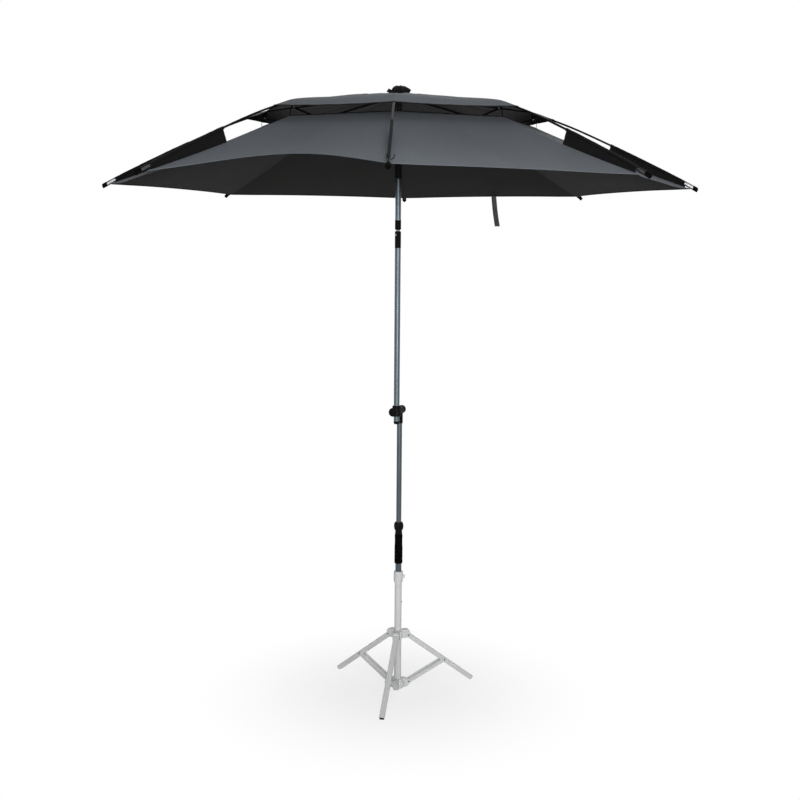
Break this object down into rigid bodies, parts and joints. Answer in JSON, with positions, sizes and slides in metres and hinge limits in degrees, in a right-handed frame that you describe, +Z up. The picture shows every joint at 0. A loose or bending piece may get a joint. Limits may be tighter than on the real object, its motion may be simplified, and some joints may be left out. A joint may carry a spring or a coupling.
{
  "type": "fishing umbrella",
  "caption": "Fishing umbrella: vented octagonal canopy on a tilting pole, held by a swivel clamp on a telescopic mast in a folding tripod.",
  "frame": {"origin": "centre of the bounding box's bottom, on the floor", "axes": "+Z up along the poles, +X to the right and -Y towards the side that the picture shows"},
  "size_m": [2.3996, 2.3996, 2.5088],
  "materials": {
    "black_steel": "satin black",
    "steel": "bright zinc",
    "black_plastic": "moulded, lightly textured",
    "grey_cloth": "coated woven polyester",
    "black_cloth": "coated woven polyester",
    "strap_web": "woven webbing",
    "blue_steel": "satin metallic blue-grey",
    "foam": "closed-cell foam",
    "grey_paint": "semi-gloss light grey",
    "black_rubber": "moulded"
  },
  "bodies": {
    "base": {"tripod_tube": "grey_paint", "tripod_collar": "grey_paint", "lower_hub": "grey_paint"},
    "tripod_thumb": {"thumb_screw": "grey_paint"},
    "leg_hub": {"upper_hub": "grey_paint"},
    "leg_1": {"leg_1": "grey_paint", "foot_1": "black_rubber"},
    "strut_1": {"strut_1": "grey_paint"},
    "leg_2": {"leg_2": "grey_paint", "foot_2": "black_rubber"},
    "strut_2": {"strut_2": "grey_paint"},
    "leg_3": {"leg_3": "grey_paint", "foot_3": "black_rubber"},
    "strut_3": {"strut_3": "grey_paint"},
    "lower_mast": {"outer_tube": "blue_steel", "foam_grip": "foam"},
    "twist": {"twist_collar": "black_plastic"},
    "inner_mast": {"inner_pole": "blue_steel", "clamp_head": "black_plastic"},
    "swivel_clamp": {"clamp_block": "black_plastic", "pivot_bolt": "steel"},
    "front_knob": {"front_knob": "black_plastic"},
    "rear_knob": {"rear_knob": "black_plastic"},
    "main_mast": {"main_pole": "blue_steel", "pole_end_plug": "black_plastic", "lower_knuckle": "black_plastic", "tilt_pin": "steel"},
    "tilt_button": {"tilt_button": "steel"},
    "canopy_mast": {"canopy_pole": "blue_steel", "upper_knuckle": "black_plastic", "crown_hub": "black_plastic", "crown_cover": "black_cloth", "vent_canopy": "grey_cloth", "main_canopy": "grey_cloth", "closure_strap": "strap_web"},
    "runner": {"runner": "black_plastic"},
    "rib_1": {"rib_1": "black_steel", "rib_tip_1": "black_plastic"},
    "stretcher_1": {"stretcher_1": "black_steel"},
    "rib_2": {"rib_2": "black_steel", "rib_tip_2": "black_plastic"},
    "stretcher_2": {"stretcher_2": "black_steel"},
    "rib_3": {"rib_3": "black_steel", "rib_tip_3": "black_plastic"},
    "stretcher_3": {"stretcher_3": "black_steel"},
    "rib_4": {"rib_4": "black_steel", "rib_tip_4": "black_plastic"},
    "stretcher_4": {"stretcher_4": "black_steel"},
    "rib_5": {"rib_5": "black_steel", "rib_tip_5": "black_plastic"},
    "stretcher_5": {"stretcher_5": "black_steel"},
    "rib_6": {"rib_6": "black_steel", "rib_tip_6": "black_plastic"},
    "stretcher_6": {"stretcher_6": "black_steel"},
    "rib_7": {"rib_7": "black_steel", "rib_tip_7": "black_plastic"},
    "stretcher_7": {"stretcher_7": "black_steel"},
    "rib_8": {"rib_8": "black_steel", "rib_tip_8": "black_plastic"},
    "stretcher_8": {"stretcher_8": "black_steel"}
  },
  "joints": [
    {"name": "mast_swivel", "type": "hinge", "parent": "base", "child": "lower_mast", "pos_m": [0.01231, 0.03383, 0.3], "axis": [0, 0, 1], "continuous": true},
    {"name": "tripod_thumb_turn", "type": "hinge", "parent": "base", "child": "tripod_thumb", "pos_m": [0.01231, 0.03383, 0.494], "axis": [1, 0, 0], "range_deg": [0, 360]},
    {"name": "tripod_fold", "type": "slide", "parent": "base", "child": "leg_hub", "axis": [0, 0, 1], "range_m": [0, 0.18463]},
    {"name": "leg_1_fold", "type": "hinge", "parent": "leg_hub", "child": "leg_1", "pos_m": [0.05372, 0.0487, 0.234], "axis": [-0.3379, 0.9412, 0], "range_deg": [0, 47.52]},
    {"name": "strut_1_fold", "type": "hinge", "parent": "base", "child": "strut_1", "pos_m": [0.05655, 0.04971, 0.028], "axis": [0.3379, -0.9412, 0], "range_deg": [0, 59.76]},
    {"name": "leg_2_fold", "type": "hinge", "parent": "leg_hub", "child": "leg_2", "pos_m": [-0.02127, 0.06226, 0.234], "axis": [-0.6461, -0.7632, 0], "range_deg": [0, 47.52]},
    {"name": "strut_2_fold", "type": "hinge", "parent": "base", "child": "strut_2", "pos_m": [-0.02356, 0.0642, 0.028], "axis": [0.6461, 0.7632, 0], "range_deg": [0, 59.76]},
    {"name": "leg_3_fold", "type": "hinge", "parent": "leg_hub", "child": "leg_3", "pos_m": [0.00448, -0.00947, 0.234], "axis": [0.984, -0.1779, 0], "range_deg": [0, 47.52]},
    {"name": "strut_3_fold", "type": "hinge", "parent": "base", "child": "strut_3", "pos_m": [0.00395, -0.01242, 0.028], "axis": [-0.984, 0.1779, 0], "range_deg": [0, 59.76]},
    {"name": "twist_lock_turn", "type": "hinge", "parent": "lower_mast", "child": "twist", "pos_m": [0.01231, 0.03383, 0.712], "axis": [0, 0, 1], "range_deg": [0, 90]},
    {"name": "mast_telescope", "type": "slide", "parent": "lower_mast", "child": "inner_mast", "axis": [0, 0, 1], "range_m": [-0.41, 0]},
    {"name": "clamp_swing", "type": "hinge", "parent": "inner_mast", "child": "swivel_clamp", "pos_m": [0, 0, 1.206], "axis": [-0.342, -0.9397, 0], "range_deg": [-60, 60]},
    {"name": "front_knob_turn", "type": "hinge", "parent": "swivel_clamp", "child": "front_knob", "pos_m": [0, 0, 1.206], "axis": [0.342, 0.9397, 0], "range_deg": [0, 360]},
    {"name": "rear_knob_turn", "type": "hinge", "parent": "swivel_clamp", "child": "rear_knob", "pos_m": [0, 0, 1.206], "axis": [0.342, 0.9397, 0], "range_deg": [0, 360]},
    {"name": "main_pole_slide", "type": "slide", "parent": "swivel_clamp", "child": "main_mast", "axis": [0, 0, -1], "range_m": [-0.02, 0.6]},
    {"name": "tilt_button_press", "type": "slide", "parent": "main_mast", "child": "tilt_button", "axis": [0.7071, 0.7071, 0], "range_m": [0, 0.004], "stiffness_N_per_m": 400},
    {"name": "canopy_tilt", "type": "hinge", "parent": "main_mast", "child": "canopy_mast", "pos_m": [0, 0, 1.9426], "axis": [0, 1, 0], "range_deg": [0, 35]},
    {"name": "canopy_fold", "type": "slide", "parent": "canopy_mast", "child": "runner", "axis": [0, 0, 1], "range_m": [-0.8106, 0], "deforming": ["main_canopy", "vent_canopy", "closure_strap"]},
    {"name": "rib_1_fold", "type": "hinge", "parent": "canopy_mast", "child": "rib_1", "pos_m": [0.02999, -0.00063, 2.4625], "axis": [0.0209, 0.9998, 0], "range_deg": [0, 71.01]},
    {"name": "stretcher_1_fold", "type": "hinge", "parent": "rib_1", "child": "stretcher_1", "pos_m": [0.53488, -0.0112, 2.38202], "axis": [-0.0209, -0.9998, 0], "range_deg": [0, 138.19]},
    {"name": "rib_2_fold", "type": "hinge", "parent": "canopy_mast", "child": "rib_2", "pos_m": [0.02165, 0.02076, 2.4625], "axis": [-0.6921, 0.7218, 0], "range_deg": [0, 71.01]},
    {"name": "stretcher_2_fold", "type": "hinge", "parent": "rib_2", "child": "stretcher_2", "pos_m": [0.38614, 0.3703, 2.38202], "axis": [0.6921, -0.7218, 0], "range_deg": [0, 138.19]},
    {"name": "rib_3_fold", "type": "hinge", "parent": "canopy_mast", "child": "rib_3", "pos_m": [0.00063, 0.02999, 2.4625], "axis": [-0.9998, 0.0209, 0], "range_deg": [0, 71.01]},
    {"name": "stretcher_3_fold", "type": "hinge", "parent": "rib_3", "child": "stretcher_3", "pos_m": [0.0112, 0.53488, 2.38202], "axis": [0.9998, -0.0209, 0], "range_deg": [0, 138.19]},
    {"name": "rib_4_fold", "type": "hinge", "parent": "canopy_mast", "child": "rib_4", "pos_m": [-0.02076, 0.02165, 2.4625], "axis": [-0.7218, -0.6921, 0], "range_deg": [0, 71.01]},
    {"name": "stretcher_4_fold", "type": "hinge", "parent": "rib_4", "child": "stretcher_4", "pos_m": [-0.3703, 0.38614, 2.38202], "axis": [0.7218, 0.6921, 0], "range_deg": [0, 138.19]},
    {"name": "rib_5_fold", "type": "hinge", "parent": "canopy_mast", "child": "rib_5", "pos_m": [-0.02999, 0.00063, 2.4625], "axis": [-0.0209, -0.9998, 0], "range_deg": [0, 71.01]},
    {"name": "stretcher_5_fold", "type": "hinge", "parent": "rib_5", "child": "stretcher_5", "pos_m": [-0.53488, 0.0112, 2.38202], "axis": [0.0209, 0.9998, 0], "range_deg": [0, 138.19]},
    {"name": "rib_6_fold", "type": "hinge", "parent": "canopy_mast", "child": "rib_6", "pos_m": [-0.02165, -0.02076, 2.4625], "axis": [0.6921, -0.7218, 0], "range_deg": [0, 71.01]},
    {"name": "stretcher_6_fold", "type": "hinge", "parent": "rib_6", "child": "stretcher_6", "pos_m": [-0.38614, -0.3703, 2.38202], "axis": [-0.6921, 0.7218, 0], "range_deg": [0, 138.19]},
    {"name": "rib_7_fold", "type": "hinge", "parent": "canopy_mast", "child": "rib_7", "pos_m": [-0.00063, -0.02999, 2.4625], "axis": [0.9998, -0.0209, 0], "range_deg": [0, 71.01]},
    {"name": "stretcher_7_fold", "type": "hinge", "parent": "rib_7", "child": "stretcher_7", "pos_m": [-0.0112, -0.53488, 2.38202], "axis": [-0.9998, 0.0209, 0], "range_deg": [0, 138.19]},
    {"name": "rib_8_fold", "type": "hinge", "parent": "canopy_mast", "child": "rib_8", "pos_m": [0.02076, -0.02165, 2.4625], "axis": [0.7218, 0.6921, 0], "range_deg": [0, 71.01]},
    {"name": "stretcher_8_fold", "type": "hinge", "parent": "rib_8", "child": "stretcher_8", "pos_m": [0.3703, -0.38614, 2.38202], "axis": [-0.7218, -0.6921, 0], "range_deg": [0, 138.19]}
  ],
  "couplings": [
    {"joint": "leg_1_fold", "follows": "tripod_fold", "rad_per_m": 4.491},
    {"joint": "strut_1_fold", "follows": "tripod_fold", "rad_per_m": 5.6487},
    {"joint": "leg_2_fold", "follows": "tripod_fold", "rad_per_m": 4.491},
    {"joint": "strut_2_fold", "follows": "tripod_fold", "rad_per_m": 5.6487},
    {"joint": "leg_3_fold", "follows": "tripod_fold", "rad_per_m": 4.491},
    {"joint": "strut_3_fold", "follows": "tripod_fold", "rad_per_m": 5.6487},
    {"joint": "rib_1_fold", "follows": "canopy_fold", "rad_per_m": -1.5287},
    {"joint": "stretcher_1_fold", "follows": "canopy_fold", "rad_per_m": -2.9751},
    {"joint": "rib_2_fold", "follows": "canopy_fold", "rad_per_m": -1.5287},
    {"joint": "stretcher_2_fold", "follows": "canopy_fold", "rad_per_m": -2.9751},
    {"joint": "rib_3_fold", "follows": "canopy_fold", "rad_per_m": -1.5287},
    {"joint": "stretcher_3_fold", "follows": "canopy_fold", "rad_per_m": -2.9751},
    {"joint": "rib_4_fold", "follows": "canopy_fold", "rad_per_m": -1.5287},
    {"joint": "stretcher_4_fold", "follows": "canopy_fold", "rad_per_m": -2.9751},
    {"joint": "rib_5_fold", "follows": "canopy_fold", "rad_per_m": -1.5287},
    {"joint": "stretcher_5_fold", "follows": "canopy_fold", "rad_per_m": -2.9751},
    {"joint": "rib_6_fold", "follows": "canopy_fold", "rad_per_m": -1.5287},
    {"joint": "stretcher_6_fold", "follows": "canopy_fold", "rad_per_m": -2.9751},
    {"joint": "rib_7_fold", "follows": "canopy_fold", "rad_per_m": -1.5287},
    {"joint": "stretcher_7_fold", "follows": "canopy_fold", "rad_per_m": -2.9751},
    {"joint": "rib_8_fold", "follows": "canopy_fold", "rad_per_m": -1.5287},
    {"joint": "stretcher_8_fold", "follows": "canopy_fold", "rad_per_m": -2.9751}
  ]
}
